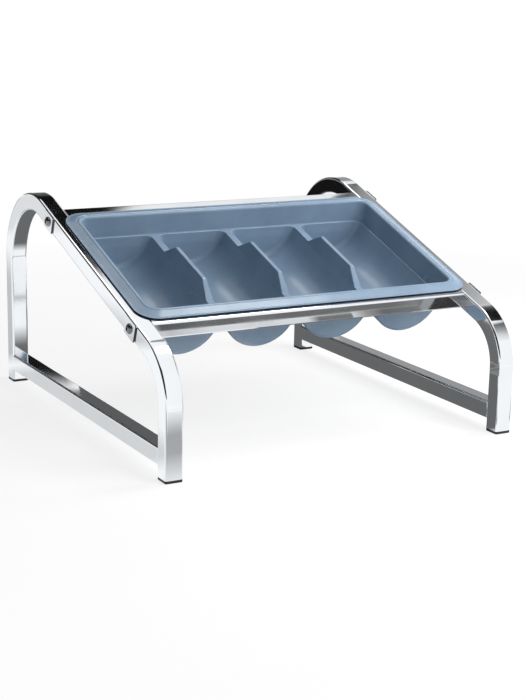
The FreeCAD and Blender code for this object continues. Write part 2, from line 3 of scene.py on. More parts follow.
import bmesh
import bpy
from mathutils import Matrix, Vector
from mathutils.geometry import delaunay_2d_cdt


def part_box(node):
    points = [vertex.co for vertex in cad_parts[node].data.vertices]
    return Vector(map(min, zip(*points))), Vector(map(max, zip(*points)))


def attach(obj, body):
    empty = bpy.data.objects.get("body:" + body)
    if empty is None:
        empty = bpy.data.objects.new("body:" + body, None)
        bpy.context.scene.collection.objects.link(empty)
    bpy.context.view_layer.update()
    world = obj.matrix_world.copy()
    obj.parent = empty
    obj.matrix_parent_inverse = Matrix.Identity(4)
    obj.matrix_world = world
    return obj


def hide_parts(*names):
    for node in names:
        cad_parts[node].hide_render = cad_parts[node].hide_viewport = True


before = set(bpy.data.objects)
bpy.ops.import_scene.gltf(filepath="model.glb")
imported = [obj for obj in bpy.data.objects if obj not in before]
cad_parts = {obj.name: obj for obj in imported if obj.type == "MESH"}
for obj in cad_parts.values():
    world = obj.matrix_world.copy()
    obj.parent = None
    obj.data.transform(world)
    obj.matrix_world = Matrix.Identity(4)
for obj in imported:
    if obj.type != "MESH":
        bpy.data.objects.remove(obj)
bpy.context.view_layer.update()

# Metres, in the same frame as the CAD: X across, Y to the back, Z up from the counter

weld = 1e-6  # points that are closer than this are one point
sharpFrom = math.radians(50)  # edges that turn more than this stay sharp


def middleOf(node):
    low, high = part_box(node)
    return (low + high) / 2


frameLow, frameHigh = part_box("left_side_frame")

stand = {
    "halfDepth": frameHigh.y,
    "slopeAngle": math.radians(18.8),
    "slopeStart": 0.156,  # height where the slope's top face would meet the front of the stand
    "frontBend": 0.075,  # radii of the two bends, on the tube's centreline
    "rearBend": 0.102,
    "footCollar": frameLow.z,
}

tube = {
    "side": 0.025,
    "wall": 0.0015,
    "corner": 0.003,
    "cornerSteps": 7,
    "bendSteps": 72,  # for a quarter turn
}

slopeUp = Vector((0, math.cos(stand["slopeAngle"]), math.sin(stand["slopeAngle"])))
slopeFoot = Vector((0, -stand["halfDepth"], stand["slopeStart"]))


def towards(turn, rise):
    # unit vector, turned from +Y towards +X and raised from the level
    return Vector((math.sin(turn) * math.cos(rise), math.cos(turn) * math.cos(rise), math.sin(rise)))


class Value:
    # a shader socket that takes part in arithmetic
    def __init__(self, finish, socket):
        self.finish = finish
        self.socket = socket

    def isVector(self):
        return self.socket.type in ("VECTOR", "RGBA")

    def combine(self, operation, first, second=0.0):
        parts = (first, second)
        vectors = any(isinstance(part, tuple) or isinstance(part, Value) and part.isVector()
                      for part in parts)
        if vectors:
            parts = [(part,) * 3 if isinstance(part, (int, float)) else part for part in parts]
        kind = "ShaderNodeVectorMath" if vectors else "ShaderNodeMath"
        return self.finish.add(kind, {"operation": operation}, {0: parts[0], 1: parts[1]})

    def __add__(self, other):
        return self.combine("ADD", self, other)

    def __radd__(self, other):
        return self.combine("ADD", other, self)

    def __sub__(self, other):
        return self.combine("SUBTRACT", self, other)

    def __rsub__(self, other):
        return self.combine("SUBTRACT", other, self)

    def __mul__(self, other):
        return self.combine("MULTIPLY", self, other)

    def __rmul__(self, other):
        return self.combine("MULTIPLY", other, self)


class Nodes:
    # one node tree, with a method that adds any node
    def __init__(self, tree):
        self.tree = tree

    def add(self, kind, settings=None, inputs=None, output=0):
        node = self.tree.nodes.new(kind)
        for name, setting in (settings or {}).items():
            if name == "stops":
                self.setStops(node.color_ramp, setting)
            else:
                setattr(node, name, setting)
        for name, given in (inputs or {}).items():
            self.feed(node.inputs[name], given)
        return Value(self, node.outputs[output])

    def setStops(self, ramp, stops):
        while len(ramp.elements) < len(stops):
            ramp.elements.new(1.0)
        for element, (position, shade) in zip(ramp.elements, stops):
            element.position = position
            element.color = (shade, shade, shade, 1.0)

    def feed(self, socket, given):
        if isinstance(given, Value):
            self.tree.links.new(given.socket, socket)
        else:
            socket.default_value = given

    def range(self, value, low, high, toLow, toHigh):
        return self.add("ShaderNodeMapRange", {"clamp": True}, {
            "Value": value, "From Min": low, "From Max": high, "To Min": toLow, "To Max": toHigh})

    def split(self, vector, axis):
        return self.add("ShaderNodeSeparateXYZ", None, {0: vector}, output=axis)

    def seenDirectly(self):
        # 1 for what the camera, a mirror or glass shows, 0 for light that falls on matt surfaces
        camera, glossy, transmission = [self.add("ShaderNodeLightPath", output="Is %s Ray" % kind)
                                        for kind in ("Camera", "Glossy", "Transmission")]
        mirrored = camera.combine("MAXIMUM", camera, glossy)
        return camera.combine("MAXIMUM", mirrored, transmission)


class Finish(Nodes):
    # one material
    def __init__(self, name):
        self.material = bpy.data.materials.new(name)
        self.material.use_nodes = True
        super().__init__(self.material.node_tree)
        self.surface = self.tree.nodes["Principled BSDF"]
        self.place = self.add("ShaderNodeTexCoord", output="Object")

    def set(self, **given):
        # keyword names are the shader's own sockets, without their spaces
        for socket in self.surface.inputs:
            name = socket.name.replace(" ", "")
            if name in given:
                self.feed(socket, given.pop(name))
        if given:
            raise ValueError("the shader has no socket %s" % sorted(given))

    def noise(self, scale, detail, roughness=0.5, stretch=None):
        where = self.place * stretch if stretch else self.place
        return self.add("ShaderNodeTexNoise", None, {
            "Vector": where, "Scale": scale, "Detail": detail, "Roughness": roughness})

    def ramp(self, factor, *stops):
        return self.add("ShaderNodeValToRGB", {"stops": stops}, {"Fac": factor})

    def mix(self, factor, first, second):
        # inputs 6 and 7 are the node's two colours, and output 2 the mixed one
        return self.add("ShaderNodeMix", {"data_type": "RGBA"},
                        {0: factor, 6: first, 7: second}, output=2)

    def bump(self, height, distance, strength=1.0, under=None):
        inputs = {"Height": height, "Distance": distance, "Strength": strength}
        if under:
            inputs["Normal"] = under
        return self.add("ShaderNodeBump", None, inputs, output="Normal")

    def normal(self):
        return self.add("ShaderNodeNewGeometry", output="Normal")

    def edges(self, radius):
        # 0 on flat stretches, more where the surface turns within the radius
        rounded = self.add("ShaderNodeBevel", {"samples": 6}, {"Radius": radius})
        return 1 - self.add("ShaderNodeVectorMath", {"operation": "DOT_PRODUCT"},
                            {0: rounded, 1: self.normal()}, output="Value")


def rgb(red, green, blue):
    # a display colour, from 0 to 255, as the shader's linear one
    def linear(part):
        part /= 255
        return part / 12.92 if part <= 0.04045 else ((part + 0.055) / 1.055) ** 2.4
    return (linear(red), linear(green), linear(blue), 1.0)


chrome = {
    "plating": rgb(243, 246, 249),
    "worn": rgb(222, 226, 230),
    "cut": rgb(70, 72, 76),  # painted shade on the plates' narrow faces, darker than the plating
    "cutFacing": (0.3, 0.9),  # squared sideways part of the normal, from narrow face to broad
    "rough": (0.03, 0.09),
    "smears": 14,  # noise scales
    "hairlines": 500,
    "hairlineRough": 0.04,
    "waves": 9,
    "waveDepth": 0.00022,  # depth of the slow dents that polishing leaves
}


def makeChrome(name, shadeNarrowFaces=False):
    finish = Finish(name)
    smears = finish.noise(chrome["smears"], detail=5, roughness=0.6)
    hairlines = finish.noise(chrome["hairlines"], detail=3)
    waves = finish.noise(chrome["waves"], detail=1)
    colour = finish.mix(finish.range(smears, 0.45, 0.8, 0.0, 0.35), chrome["plating"], chrome["worn"])
    # plates get a painted shade on their narrow faces
    if shadeNarrowFaces:
        sideways = finish.split(finish.normal(), "X")
        narrow = finish.range(sideways * sideways, *chrome["cutFacing"], 1.0, 0.0)
        colour = finish.mix(narrow, colour, chrome["cut"])
    rough = finish.range(smears, 0.35, 0.75, *chrome["rough"])
    finish.set(
        BaseColor=colour,
        Metallic=1.0,
        Roughness=rough + finish.range(hairlines, 0.6, 0.75, 0.0, chrome["hairlineRough"]),
        Normal=finish.bump(waves, chrome["waveDepth"]),
    )
    return finish.material


steel = {
    "colour": rgb(150, 152, 156),
    "dark": rgb(92, 94, 98),
    "rough": (0.18, 0.36),
    "grain": 1600,
    "rings": 260,
    "grainDepth": 0.00002,
}


def makeBoltSteel():
    finish = Finish("bolt_steel")
    grain = finish.noise(steel["grain"], detail=4)
    rings = finish.noise(steel["rings"], detail=2)
    finish.set(
        BaseColor=finish.mix(finish.range(rings, 0.4, 0.7, 0.0, 0.8), steel["colour"], steel["dark"]),
        Metallic=1.0,
        Roughness=finish.range(grain, 0.3, 0.7, *steel["rough"]),
        Normal=finish.bump(grain, steel["grainDepth"]),
    )
    return finish.material


zinc = {
    "colour": rgb(176, 178, 170),
    "dark": rgb(92, 94, 98),
    "rough": (0.35, 0.5),
    "spangle": 420.0,
    "spangleDepth": 0.00002,
}


def makeZinc():
    finish = Finish("zinc_plated_steel")
    spangle = finish.add("ShaderNodeTexVoronoi", None,
                         {"Vector": finish.place, "Scale": zinc["spangle"]}, output="Distance")
    finish.set(
        BaseColor=finish.mix(finish.range(spangle, 0.1, 0.6, 0.0, 0.6), zinc["colour"], zinc["dark"]),
        Metallic=1.0,
        Roughness=finish.range(spangle, 0.1, 0.6, *zinc["rough"]),
        Normal=finish.bump(spangle, zinc["spangleDepth"]),
    )
    return finish.material


footPlastic = {
    "colour": rgb(22, 23, 25),
    "scuffed": rgb(58, 59, 61),
    "rough": (0.42, 0.62),
    "edge": 0.0008,  # how wide the rubbed edges are
    "grain": 2200,
    "scuffs": 160,
    "grainDepth": 0.00004,
}


def makeFootPlastic():
    finish = Finish("foot_plastic")
    grain = finish.noise(footPlastic["grain"], detail=3)
    scuffs = finish.noise(footPlastic["scuffs"], detail=5, roughness=0.7, stretch=(1, 1, 3))
    rubbed = finish.range(finish.edges(footPlastic["edge"]), 0.03, 0.4, 0.0, 0.7)
    finish.set(
        BaseColor=finish.mix(finish.range(scuffs, 0.55, 0.75, 0.0, 0.5) + rubbed,
                             footPlastic["colour"], footPlastic["scuffed"]),
        Roughness=finish.range(grain, 0.3, 0.7, *footPlastic["rough"]),
        Normal=finish.bump(grain, footPlastic["grainDepth"], strength=0.6),
    )
    return finish.material


trayPlastic = {
    "colour": rgb(122, 143, 163),
    "deep": rgb(114, 134, 154),
    # rounded edges: rubbed wear, and a painted highlight along the roundings
    "rubbed": rgb(156, 175, 194),
    "rough": (0.24, 0.28),
    "edge": 0.0022,
    "cloud": 22,
    "grain": 3000,
    "grainDepth": 0.00001,
    "sinks": 16,  # slow hollows that the moulding leaves as it cools
    "sinkDepth": 0.0006,
}


def makeTrayPlastic():
    finish = Finish("tray_plastic")
    cloud = finish.noise(trayPlastic["cloud"], detail=4, roughness=0.55)
    grain = finish.bump(finish.noise(trayPlastic["grain"], detail=2), trayPlastic["grainDepth"])
    sinks = finish.noise(trayPlastic["sinks"], detail=1)
    # rounded edges lighter: partly rubbed wear, partly a painted highlight
    rubbed = finish.range(finish.edges(trayPlastic["edge"]), 0.03, 0.35, 0.0, 0.45)
    clouded = finish.range(cloud, 0.35, 0.7, 0.0, 1.0)
    body = finish.mix(clouded, trayPlastic["colour"], trayPlastic["deep"])
    finish.set(
        BaseColor=finish.mix(rubbed, body, trayPlastic["rubbed"]),
        Roughness=finish.range(cloud, 0.2, 0.8, *trayPlastic["rough"]),
        Normal=finish.bump(sinks, trayPlastic["sinkDepth"], under=grain),
        SubsurfaceWeight=0.05,
        SubsurfaceScale=0.004,
        IOR=1.49,
    )
    return finish.material


def makePiece(name, vertices, faces, material, body, replaced):
    mesh = bpy.data.meshes.new(name)
    mesh.from_pydata([tuple(v) for v in vertices], [], faces)
    build = bmesh.new()
    build.from_mesh(mesh)
    bmesh.ops.remove_doubles(build, verts=build.verts, dist=weld)
    bmesh.ops.dissolve_degenerate(build, edges=build.edges, dist=weld)
    bmesh.ops.recalc_face_normals(build, faces=build.faces)
    build.to_mesh(mesh)
    build.free()
    mesh.polygons.foreach_set("use_smooth", [True] * len(mesh.polygons))
    mesh.materials.append(material)
    piece = bpy.data.objects.new(name, mesh)
    bpy.context.scene.collection.objects.link(piece)
    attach(piece, body)
    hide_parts(replaced)
    # large flat faces set the normals, so flats stay flat beside their rounded edges
    mesh.set_sharp_from_angle(angle=sharpFrom)
    weighted = piece.modifiers.new("cleanShading", "WEIGHTED_NORMAL")
    weighted.keep_sharp = True
    weighted.weight = 100
    return piece


def bandFaces(first, following, count):
    # faces between two closed rings, each given by the number of its first vertex
    return [(first + i, first + (i + 1) % count, following + (i + 1) % count, following + i)
            for i in range(count)]


def joinRows(build, row, following, closed=True):
    # the same in a mesh that is being built, for rows of vertices
    for i in range(len(row) if closed else len(row) - 1):
        j = (i + 1) % len(row)
        build.faces.new((row[i], row[j], following[j], following[i]))


def squareRing(side, corner, steps):
    # points round a square with round corners, each quarter from its right-hand side on
    inset = side / 2 - corner
    points = []
    for quarter in range(4):
        turn = quarter * math.pi / 2
        centre = Vector((math.cos(turn) - math.sin(turn), math.sin(turn) + math.cos(turn))) * inset
        for step in range(steps + 1):
            angle = turn + step / steps * math.pi / 2
            points.append(centre + Vector((math.cos(angle), math.sin(angle))) * corner)
    return points


def tubeMesh(stations):
    # hollow square tube through stations, each a point and the two directions of its section
    outer = squareRing(tube["side"], tube["corner"], tube["cornerSteps"])
    inner = squareRing(tube["side"] - 2 * tube["wall"], tube["corner"] - tube["wall"],
                       tube["cornerSteps"])
    count = len(outer)
    vertices = []
    for point, across, out in stations:
        for ring in (outer, inner):
            vertices += [point + across * spot.x + out * spot.y for spot in ring]
    faces = []
    for station in range(len(stations) - 1):
        here = station * 2 * count
        beyond = here + 2 * count
        faces += bandFaces(here, beyond, count) + bandFaces(here + count, beyond + count, count)
    for here in (0, (len(stations) - 1) * 2 * count):
        faces += bandFaces(here, here + count, count)
    return vertices, faces


def makeTube(name, stations, replaced):
    vertices, faces = tubeMesh(stations)
    makePiece(name, vertices, faces, chromedTube, "stand", replaced)


def straightStations(start, end, across):
    out = (end - start).normalized().cross(across)
    return [(start, across, out), (end, across, out)]


def hoopStations(x):
    # front leg, front bend, slope, rear bend and rear leg, from foot to foot
    slope = stand["slopeAngle"]
    rise = math.tan(slope)
    half = tube["side"] / 2
    frontY = half - stand["halfDepth"]
    rearY = -frontY
    startZ = stand["slopeStart"] - half / math.cos(slope)
    frontZ = startZ + rise * half
    rearZ = startZ + rise * (2 * stand["halfDepth"] - half)
    frontTrim = stand["frontBend"] * math.tan((math.pi / 2 - slope) / 2)
    rearTrim = stand["rearBend"] * math.tan((math.pi / 2 + slope) / 2)
    front, rear = stand["frontBend"], stand["rearBend"]
    offSlope = math.pi / 2 + slope
    bends = (  # centre, radius, and the angles that its outward direction turns through
        (frontY + front, frontZ - frontTrim, front, math.pi, offSlope),
        (rearY - rear, rearZ - rearTrim, rear, offSlope, 0.0),
    )
    spots = [(frontY, stand["footCollar"], math.pi)]
    for y, z, radius, first, last in bends:
        steps = round(tube["bendSteps"] * abs(last - first) / (math.pi / 2))
        for step in range(steps + 1):
            angle = first + (last - first) * step / steps
            spots.append((y + radius * math.cos(angle), z + radius * math.sin(angle), angle))
    spots.append((rearY, stand["footCollar"], 0.0))
    return [(Vector((x, y, z)), Vector((1, 0, 0)), Vector((0, math.cos(angle), math.sin(angle))))
            for y, z, angle in spots]


def makeStand():
    for side in ("left", "right"):
        x = middleOf(side + "_side_frame").x
        makeTube(side + "FrameTube", hoopStations(x), side + "_side_frame")
        node = side + "_lower_stretcher"
        low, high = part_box(node)
        z = middleOf(node).z
        ends = (Vector((x, low.y, z)), Vector((x, high.y, z)))
        makeTube(side + "StretcherTube", straightStations(*ends, Vector((1, 0, 0))), node)
    for end in ("front", "rear"):
        node = end + "_crossbar"
        low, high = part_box(node)
        centre = middleOf(node)
        ends = (Vector((low.x, centre.y, centre.z)), Vector((high.x, centre.y, centre.z)))
        makeTube(end + "CrossbarTube", straightStations(*ends, slopeUp), node)
    print("stand: side frames, stretchers and crossbars")


# Small parts carried over from the CAD get a finish and softened edges.

fastener = {
    "plateEdge": 0.0004,
    "boltEdge": 0.00025,
    "footEdge": 0.0003,
    "sharpFrom": math.radians(40),  # edges that turn more than this are softened
}


def coverNode(name, material):
    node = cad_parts[name]
    node.data.materials.clear()
    node.data.materials.append(material)
    return node


def softenNode(name, material, width):
    bevel = coverNode(name, material).modifiers.new("softEdges", "BEVEL")
    bevel.width = width
    bevel.segments = 2
    bevel.limit_method = "ANGLE"
    bevel.angle_limit = fastener["sharpFrom"]
    bevel.use_clamp_overlap = True


def makeFasteners():
    for end in ("front", "rear"):
        for side in ("left", "right"):
            corner = "%s_%s_" % (end, side)
            softenNode(corner + "plate", chromedPlate, fastener["plateEdge"])
            softenNode(corner + "bolt", boltSteel, fastener["boltEdge"])
            softenNode(corner + "foot", footBlack, fastener["footEdge"])
            coverNode(corner + "insert", zincSteel)
    print("fasteners and feet")


# Tray, in its own frame: X across, Y up the slope, Z square to it, zero where the rim rests

tray = {
    "halfLength": 0.238,  # half the opening inside the rim
    "halfWidth": 0.128,
    "openingCorner": 0.014,
    "land": 0.021,  # rim, from the opening to its outer edge
    "rimCorner": 0.030,
    "rimHeight": 0.0065,
    "bead": 0.0038,  # rounding of the raised inner part of the rim
    "crease": (0.0073, 0.0056),  # bottom of the groove beside it
    "band": (0.0080, 0.0060),  # where the rim starts to slope down
    "knee": (0.0176, 0.0025),  # where it levels out again
    "kneeDrop": 0.000075,
    "lipTop": 0.0024,
    "lip": 0.0015,  # height of the rim's lower edge above the tubes
    "rib": (0.0082, 0.0104),  # rib under the rim, on which the tray rests
    "wall": 0.0025,
    "taper": 0.0025,  # how far the upper walls lean in down to the ledge
    "ledge": 0.026,  # depth of the ledge below the rim's seat
    "clearance": 0.0003,  # to the front crossbar
    "beadEnd": 42,  # degrees above the level, where the bead turns into the groove
    "blend": 0.0005,  # small roundings of the rim
    "cornerSteps": 14,
    "bandSteps": 4,
    "sideSteps": (24, 12),  # long sides, short sides
}

trough = {
    "count": 4,
    "spacing": 0.1195,
    "radius": 0.05175,
    "halfLength": 0.1205,
    "axis": -0.0245,  # height of the round bottom's axis
    "endRound": 0.0075,
    "sideLean": math.radians(20),  # how far the walls lean out above the round bottom
    "endLean": math.radians(6),
    "mouthRound": 0.0014,
    "turnSteps": 72,
    "roundSteps": 8,
    "lengthSteps": 16,
    "wallSteps": 6,
}

divider = {
    "topHalf": 0.0031,  # half its thickness at the top
    "rise": 0.021,
    "halfTop": 0.045,
    "ramp": 0.028,
    "runOut": -0.00154,  # height at the foot of a ramp, hidden in the ledge
    "edge": 0.0011,
    "base": (0.00585, -0.0014),  # half thickness and height where it meets the troughs' walls
    "foot": (0.0066, -0.004),
    "sideSteps": 6,
    "rampSteps": 12,
    "topSteps": 10,
}


def trayPlacement():
    # its front wall stands just behind the front crossbar, both measured up the slope
    crossbar = (middleOf("front_crossbar") - slopeFoot).dot(slopeUp)
    along = crossbar + tube["side"] / 2 + tray["clearance"] + tray["wall"] + tray["halfWidth"]
    tilt = Matrix.Rotation(stand["slopeAngle"], 4, "X")
    return Matrix.Translation(slopeFoot + slopeUp * along) @ tilt


def arcPoints(centre, radius, first, last, steps):
    # (outwards, upwards) points of a rounding in the rim's profile, angles in degrees
    points = []
    for step in range(steps + 1):
        angle = math.radians(first + (last - first) * step / steps)
        points.append((centre[0] + radius * math.cos(angle), centre[1] + radius * math.sin(angle)))
    return points


def rimProfile():
    # from the inner edge of the ledge, over the rim and back under it, as (outwards, upwards)
    top = tray["rimHeight"]
    wall = tray["wall"]
    bead = tray["bead"]
    small = tray["blend"]
    edge = (tray["lipTop"] - tray["lip"]) / 2  # half the thickness of the lip
    lipOut = tray["land"] - edge
    innerRib, outerRib = tray["rib"]
    band, knee = Vector(tray["band"]), Vector(tray["knee"])
    points = [(-tray["taper"], -tray["ledge"])]
    points += arcPoints((bead, top - bead), bead, 180, tray["beadEnd"], 12)
    points += [tray["crease"], (band.x - small / 2, band.y - small / 2)]
    steps = tray["bandSteps"]
    points += [tuple(band.lerp(knee, step / steps)) for step in range(steps + 1)]
    points += [(knee.x + small, knee.y - tray["kneeDrop"]), (lipOut, tray["lipTop"])]
    points += arcPoints((lipOut, tray["lipTop"] - edge), edge, 70, -90, 8)
    points.append((outerRib + 2 * small, tray["lip"] + small))
    points += arcPoints((outerRib - small, small), small, 0, -90, 3)
    points += arcPoints((innerRib + small, small), small, -90, -180, 3)
    points.append((innerRib - small, top - wall - small))
    points += arcPoints((wall + 2 * small, top - wall - 2 * small), 2 * small, 90, 180, 4)
    points.append((wall - tray["taper"], -tray["ledge"] - wall))
    return points


def rimCornerAt(outwards):
    # the corners follow the opening's, and close in to the rim's own at its outer edge
    concentric = tray["openingCorner"] + outwards
    bandOut = tray["band"][0]
    share = min(max((outwards - bandOut) / (tray["land"] - bandOut), 0), 1)
    return concentric + share * (tray["rimCorner"] - tray["openingCorner"] - tray["land"])


def rectangleRing(halfX, halfY, corner):
    # as many points whatever the size, so that rings join one to one
    steps = tray["cornerSteps"]
    inX = halfX - corner
    inY = halfY - corner
    middles = [Vector(middle) for middle in ((inX, inY), (-inX, inY), (-inX, -inY), (inX, -inY))]
    points = []
    for quarter, middle in enumerate(middles):
        turn = quarter * math.pi / 2
        for step in range(steps + 1):
            angle = turn + step / steps * math.pi / 2
            points.append(middle + corner * Vector((math.cos(angle), math.sin(angle))))
        start = points[-1]
        end = middles[(quarter + 1) % 4] + corner * Vector((-math.sin(turn), math.cos(turn)))
        sides = tray["sideSteps"][quarter % 2]
        points += [start.lerp(end, step / sides) for step in range(1, sides)]
    return points


def troughSkin(build, x, radius, halfLength, endRound, cutAt):
    # half a turned form about the trough's axis, cut off at a height
    steps = trough["roundSteps"]
    profile = [(0.0, halfLength)]
    for step in range(steps + 1):
        angle = math.pi / 2 * step / steps
        profile.append((radius - endRound + endRound * math.sin(angle),
                        halfLength - endRound + endRound * math.cos(angle)))
    ends = profile[-1][1]
    straight = trough["lengthSteps"]
    profile += [(radius, ends - 2 * ends * step / straight) for step in range(1, straight)]
    profile += [(r, -y) for r, y in reversed(profile[:steps + 2])]
    rows = []
    for step in range(trough["turnSteps"] + 1):
        angle = math.pi + math.pi * step / trough["turnSteps"]
        rows.append([build.verts.new((x + r * math.cos(angle), y, trough["axis"] + r * math.sin(angle)))
                     for r, y in profile])
    made = [vertex for row in rows for vertex in row]
    for row, following in zip(rows, rows[1:]):
        joinRows(build, row, following, closed=False)
    bmesh.ops.remove_doubles(build, verts=made, dist=weld)
    margin = 10 * weld
    live = [v for v in build.verts
            if abs(v.co.x - x) <= radius + margin and v.co.z <= trough["axis"] + margin]
    edges = list(dict.fromkeys(e for v in live for e in v.link_edges))  # each once, in a fixed order
    faces = list(dict.fromkeys(f for v in live for f in v.link_faces))
    bmesh.ops.bisect_plane(build, geom=live + edges + faces, dist=weld,
                           plane_co=(0, 0, cutAt), plane_no=(0, 0, 1), clear_outer=True)


def openLoops(build, height):
    # the closed loops of open edges at a height, as ordered vertices
    edges = [e for e in build.edges
             if e.is_boundary and all(abs(v.co.z - height) < weld for v in e.verts)]
    follows = {}
    for edge in edges:
        for vertex in edge.verts:
            follows.setdefault(vertex, []).append(edge)
    loops = []
    left = dict.fromkeys(edges)
    while left:
        edge, _ = left.popitem()
        loop = [edge.verts[0], edge.verts[1]]
        while True:
            onward = [e for e in follows[loop[-1]] if e in left]
            if not onward:
                break
            del left[onward[0]]
            loop.append(onward[0].other_vert(loop[-1]))
        if loop[0] == loop[-1]:
            loop.pop()
        loops.append(loop)
    return loops


def outwardAt(loop, i):
    # level direction away from the loop's inside
    before = loop[i - 1].co
    after = loop[(i + 1) % len(loop)].co
    run = (after - before).to_2d().normalized()
    area = sum(a.co.x * b.co.y - b.co.x * a.co.y for a, b in zip(loop, loop[1:] + loop[:1]))
    return Vector((run.y, -run.x, 0)) * (1 if area > 0 else -1)


def growRing(build, loop, offsets):
    # joins a loop to a copy of itself, moved by an offset for each vertex
    grown = [build.verts.new(vertex.co + offset) for vertex, offset in zip(loop, offsets)]
    joinRows(build, loop, grown)
    return grown


def raiseWall(build, loop, rise):
    # the leaning wall above a trough's round bottom
    steps = trough["wallSteps"]
    sideways = math.tan(trough["sideLean"]) * rise / steps
    endways = math.tan(trough["endLean"]) * rise / steps
    offsets = []
    for i in range(len(loop)):
        outward = outwardAt(loop, i)
        offsets.append(Vector((outward.x * sideways, outward.y * endways, rise / steps)))
    for _ in range(steps):
        loop = growRing(build, loop, offsets)
    return loop


def roundMouth(build, loop):
    # turns the top of a trough's wall over into the ledge
    radius = trough["mouthRound"]
    steps = trough["roundSteps"]
    directions = [outwardAt(loop, i) for i in range(len(loop))]
    for step in range(steps):
        here = math.pi / 2 * step / steps
        beyond = math.pi / 2 * (step + 1) / steps
        out = radius * (math.cos(here) - math.cos(beyond))
        up = Vector((0, 0, radius * (math.sin(beyond) - math.sin(here))))
        loop = growRing(build, loop, [direction * out + up for direction in directions])
    return loop


def fillLedge(build, outline, holes):
    # flat faces between an outline and the mouths inside it
    verts = list(outline)
    loops = [list(range(len(outline)))]
    for hole in holes:
        loops.append(list(range(len(verts), len(verts) + len(hole))))
        verts += hole
    edges = [(a, b) for loop in loops for a, b in zip(loop, loop[1:] + loop[:1])]
    flat = [v.co.to_2d() for v in verts]
    # kind 1 keeps what lies inside the outline, and points 1e-7 apart are one
    points, _, triangles, origins, _, _ = delaunay_2d_cdt(flat, edges, [loops[0]], 1, 1e-7)
    targets = []
    for point, source in zip(points, origins):
        targets.append(verts[source[0]] if source else build.verts.new((*point, outline[0].co.z)))
    rings = [[v.co.to_2d() for v in hole] for hole in holes]
    for triangle in triangles:
        middle = sum((points[i] for i in triangle), Vector((0, 0))) / 3
        if not any(isInside(middle, ring) for ring in rings):
            build.faces.new([targets[i] for i in triangle])


def isInside(point, ring):
    # counts the sides of the ring that a line to the right of the point crosses
    inside = False
    for a, b in zip(ring, ring[1:] + ring[:1]):
        if (a.y > point.y) != (b.y > point.y):
            if point.x < a.x + (point.y - a.y) / (b.y - a.y) * (b.x - a.x):
                inside = not inside
    return inside


def makeTrayShell():
    build = bmesh.new()
    rings = []
    for outwards, upwards in rimProfile():
        ring = rectangleRing(tray["halfLength"] + outwards, tray["halfWidth"] + outwards,
                             rimCornerAt(outwards))
        rings.append([build.verts.new((p.x, p.y, upwards)) for p in ring])
    for ring, following in zip(rings, rings[1:]):
        joinRows(build, ring, following)

    first = -(trough["count"] - 1) / 2 * trough["spacing"]
    middles = [first + i * trough["spacing"] for i in range(trough["count"])]
    openings = {}
    for skin, thickness, top in (("inside", 0.0, -tray["ledge"] - trough["mouthRound"]),
                                 ("outside", tray["wall"], -tray["ledge"] - tray["wall"])):
        radius = trough["radius"] + thickness
        cutAt = trough["axis"] - radius * math.sin(trough["sideLean"])
        part = bmesh.new()
        for x in middles:
            troughSkin(part, x, radius, trough["halfLength"] + thickness,
                       trough["endRound"] + thickness, cutAt)
        held = bpy.data.meshes.new("troughs")
        part.to_mesh(held)
        part.free()
        build.from_mesh(held)
        bpy.data.meshes.remove(held)
        openings[skin] = [raiseWall(build, loop, top - cutAt) for loop in openLoops(build, cutAt)]
    fillLedge(build, rings[0], [roundMouth(build, loop) for loop in openings["inside"]])
    fillLedge(build, rings[-1], openings["outside"])
    bmesh.ops.recalc_face_normals(build, faces=build.faces)
    return build


def dividerHeight(y):
    # top edge of a divider: a level stretch with a ramp at both ends, which runs out in the ledge
    reach = divider["halfTop"] + divider["ramp"]
    share = min(max((reach - abs(y)) / divider["ramp"], 0), 1)
    return divider["runOut"] + (divider["rise"] - divider["runOut"]) * share


def dividerSection(height):
    # one side of the section, from its foot in the wall to the middle of its top
    baseHalf, baseUp = divider["base"]
    edge = divider["edge"]
    lean = (baseHalf - divider["topHalf"]) / (divider["rise"] - baseUp)
    topHalf = baseHalf - lean * (height - baseUp)
    steps = divider["sideSteps"]
    side = [divider["foot"]]
    for step in range(steps + 1):
        up = baseUp + (height - edge - baseUp) * step / steps
        side.append((baseHalf - lean * (up - baseUp), up))
    for step in range(1, steps + 1):
        angle = math.pi / 2 * step / steps
        side.append((topHalf - edge + edge * math.cos(angle), height - edge + edge * math.sin(angle)))
    return side


def addDivider(build, x):
    topSteps, rampSteps = divider["topSteps"], divider["rampSteps"]
    half = [divider["halfTop"] * step / topSteps for step in range(topSteps)]
    half += [divider["halfTop"] + divider["ramp"] * step / rampSteps for step in range(rampSteps + 1)]
    rows = []
    for y in [-y for y in reversed(half[1:])] + half:
        side = dividerSection(dividerHeight(y))
        section = side + [(-across, up) for across, up in reversed(side)]
        rows.append([build.verts.new((x + across, y, up - tray["ledge"])) for across, up in section])
    for row, following in zip(rows, rows[1:]):
        joinRows(build, row, following)
    build.faces.new(rows[0])
    build.faces.new(list(reversed(rows[-1])))


def makeTray():
    build = makeTrayShell()
    first = -(trough["count"] - 2) / 2 * trough["spacing"]
    for i in range(trough["count"] - 1):
        addDivider(build, first + i * trough["spacing"])
    placed = trayPlacement()
    vertices = [placed @ v.co for v in build.verts]
    build.verts.index_update()
    faces = [[v.index for v in f.verts] for f in build.faces]
    build.free()
    piece = makePiece("cutleryTrayMoulding", vertices, faces, trayBlue, "tray",
                      "cutlery_tray")
    print("tray: %d faces" % len(piece.data.polygons))


chromedTube = makeChrome("chromed_tube")
chromedPlate = makeChrome("chromed_plate", shadeNarrowFaces=True)
boltSteel = makeBoltSteel()
zincSteel = makeZinc()
footBlack = makeFootPlastic()
trayBlue = makeTrayPlastic()
makeStand()
makeFasteners()
makeTray()

# Studio: pale floor, soft lamps, a white surround, and shaded cards that show the chrome's form

